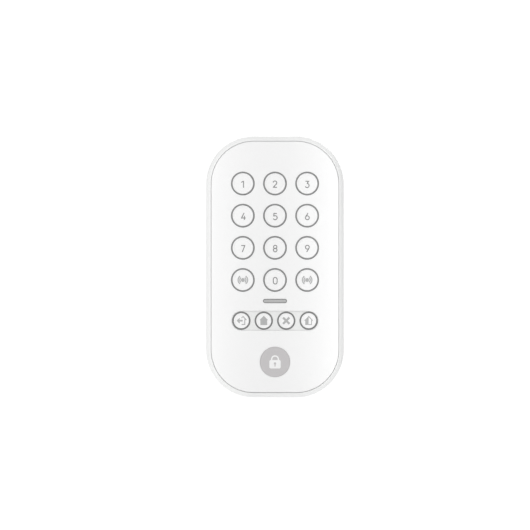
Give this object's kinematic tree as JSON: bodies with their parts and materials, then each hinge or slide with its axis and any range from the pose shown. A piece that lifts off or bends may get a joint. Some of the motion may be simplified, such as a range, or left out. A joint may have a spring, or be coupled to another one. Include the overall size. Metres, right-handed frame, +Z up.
{
  "type": "alarm keypad panel",
  "caption": "Slim white wall keypad with rounded corners: digit keys in grey rings, a row of small function keys, a light bar and a plain disc, on a slide-on wall bracket.",
  "frame": {"origin": "centre of the wall bracket's back face, on the wall plane, behind the middle of the front outline", "axes": "+Y into the wall (the keys face -Y), +Z up the wall, +X to the right as seen by the person at the keys"},
  "size_m": [0.078, 0.027, 0.148],
  "materials": {
    "white_shell": "fine satin, moulded",
    "white_fascia": "smooth satin",
    "white_key": "fine satin, moulded",
    "white_bracket": "matt, moulded",
    "grey_ring": "translucent grey, matt",
    "grey_lens": "translucent grey, smooth",
    "grey_badge": "smooth satin",
    "silicone": "matt silicone",
    "dome_film": "clear film over metal domes",
    "board_green": "solder mask",
    "chip_black": "moulded",
    "led_clear": "clear resin",
    "steel": "bright zinc plate",
    "nickel": "nickel plate",
    "cell_sleeve": "printed sleeve, plain dark grey",
    "tamper_white": "natural acetal"
  },
  "bodies": {
    "wall_bracket": {"wall_bracket": "white_bracket"},
    "keypad_unit": {"antenna_wire": "nickel", "backlight_led_1": "led_clear", "backlight_led_2": "led_clear", "backlight_led_3": "led_clear", "backlight_led_4": "led_clear", "badge_disc": "grey_badge", "battery_1": "cell_sleeve", "battery_2": "cell_sleeve", "battery_3": "cell_sleeve", "battery_4": "cell_sleeve", "board_screw_1": "steel", "board_screw_2": "steel", "board_screw_3": "steel", "board_screw_4": "steel", "circuit_board": "board_green", "contact_link_left": "nickel", "contact_link_right": "nickel", "contact_link_top": "nickel", "contact_negative": "nickel", "contact_positive": "nickel", "contact_spring_1": "nickel", "contact_spring_2": "nickel", "contact_spring_3": "nickel", "contact_spring_4": "nickel", "dome_film": "dome_film", "front_fascia": "white_fascia", "housing_screw_1": "steel", "housing_screw_2": "steel", "housing_screw_3": "steel", "housing_screw_4": "steel", "key_mat": "silicone", "key_ring_guide": "grey_ring", "microcontroller": "chip_black", "radio_module": "steel", "rear_housing": "white_shell", "sounder": "chip_black", "status_led": "led_clear", "status_light_bar": "grey_lens", "tamper_spring": "steel", "tamper_switch": "chip_black"},
    "key_1": {"key_1": "white_key"},
    "key_2": {"key_2": "white_key"},
    "key_3": {"key_3": "white_key"},
    "key_4": {"key_4": "white_key"},
    "key_5": {"key_5": "white_key"},
    "key_6": {"key_6": "white_key"},
    "key_7": {"key_7": "white_key"},
    "key_8": {"key_8": "white_key"},
    "key_9": {"key_9": "white_key"},
    "key_panic_left": {"key_panic_left": "white_key"},
    "key_0": {"key_0": "white_key"},
    "key_panic_right": {"key_panic_right": "white_key"},
    "key_arm_away": {"key_arm_away": "white_key"},
    "key_arm_home": {"key_arm_home": "white_key"},
    "key_disarm": {"key_disarm": "white_key"},
    "key_arm_part": {"key_arm_part": "white_key"},
    "tamper_plunger": {"tamper_plunger": "tamper_white"},
    "lock_screw": {"lock_screw": "steel"}
  },
  "joints": [
    {"name": "unmount_slide", "type": "slide", "parent": "wall_bracket", "child": "keypad_unit", "axis": [0, 0, 1], "range_m": [0, 0.006]},
    {"name": "key_1_press", "type": "slide", "parent": "keypad_unit", "child": "key_1", "axis": [0, 1, 0], "range_m": [0, 0.0009], "stiffness_N_per_m": 500, "springref_m": -0.0008},
    {"name": "key_2_press", "type": "slide", "parent": "keypad_unit", "child": "key_2", "axis": [0, 1, 0], "range_m": [0, 0.0009], "stiffness_N_per_m": 500, "springref_m": -0.0008},
    {"name": "key_3_press", "type": "slide", "parent": "keypad_unit", "child": "key_3", "axis": [0, 1, 0], "range_m": [0, 0.0009], "stiffness_N_per_m": 500, "springref_m": -0.0008},
    {"name": "key_4_press", "type": "slide", "parent": "keypad_unit", "child": "key_4", "axis": [0, 1, 0], "range_m": [0, 0.0009], "stiffness_N_per_m": 500, "springref_m": -0.0008},
    {"name": "key_5_press", "type": "slide", "parent": "keypad_unit", "child": "key_5", "axis": [0, 1, 0], "range_m": [0, 0.0009], "stiffness_N_per_m": 500, "springref_m": -0.0008},
    {"name": "key_6_press", "type": "slide", "parent": "keypad_unit", "child": "key_6", "axis": [0, 1, 0], "range_m": [0, 0.0009], "stiffness_N_per_m": 500, "springref_m": -0.0008},
    {"name": "key_7_press", "type": "slide", "parent": "keypad_unit", "child": "key_7", "axis": [0, 1, 0], "range_m": [0, 0.0009], "stiffness_N_per_m": 500, "springref_m": -0.0008},
    {"name": "key_8_press", "type": "slide", "parent": "keypad_unit", "child": "key_8", "axis": [0, 1, 0], "range_m": [0, 0.0009], "stiffness_N_per_m": 500, "springref_m": -0.0008},
    {"name": "key_9_press", "type": "slide", "parent": "keypad_unit", "child": "key_9", "axis": [0, 1, 0], "range_m": [0, 0.0009], "stiffness_N_per_m": 500, "springref_m": -0.0008},
    {"name": "key_panic_left_press", "type": "slide", "parent": "keypad_unit", "child": "key_panic_left", "axis": [0, 1, 0], "range_m": [0, 0.0009], "stiffness_N_per_m": 500, "springref_m": -0.0008},
    {"name": "key_0_press", "type": "slide", "parent": "keypad_unit", "child": "key_0", "axis": [0, 1, 0], "range_m": [0, 0.0009], "stiffness_N_per_m": 500, "springref_m": -0.0008},
    {"name": "key_panic_right_press", "type": "slide", "parent": "keypad_unit", "child": "key_panic_right", "axis": [0, 1, 0], "range_m": [0, 0.0009], "stiffness_N_per_m": 500, "springref_m": -0.0008},
    {"name": "key_arm_away_press", "type": "slide", "parent": "keypad_unit", "child": "key_arm_away", "axis": [0, 1, 0], "range_m": [0, 0.0009], "stiffness_N_per_m": 500, "springref_m": -0.0008},
    {"name": "key_arm_home_press", "type": "slide", "parent": "keypad_unit", "child": "key_arm_home", "axis": [0, 1, 0], "range_m": [0, 0.0009], "stiffness_N_per_m": 500, "springref_m": -0.0008},
    {"name": "key_disarm_press", "type": "slide", "parent": "keypad_unit", "child": "key_disarm", "axis": [0, 1, 0], "range_m": [0, 0.0009], "stiffness_N_per_m": 500, "springref_m": -0.0008},
    {"name": "key_arm_part_press", "type": "slide", "parent": "keypad_unit", "child": "key_arm_part", "axis": [0, 1, 0], "range_m": [0, 0.0009], "stiffness_N_per_m": 500, "springref_m": -0.0008},
    {"name": "tamper_plunger_slide", "type": "slide", "parent": "keypad_unit", "child": "tamper_plunger", "axis": [0, 1, 0], "range_m": [0, 0.002], "stiffness_N_per_m": 150, "springref_m": 0.003},
    {"name": "lock_screw_drive", "type": "slide", "parent": "keypad_unit", "child": "lock_screw", "axis": [0, 0, -1], "range_m": [-0.0062, 0]}
  ]
}
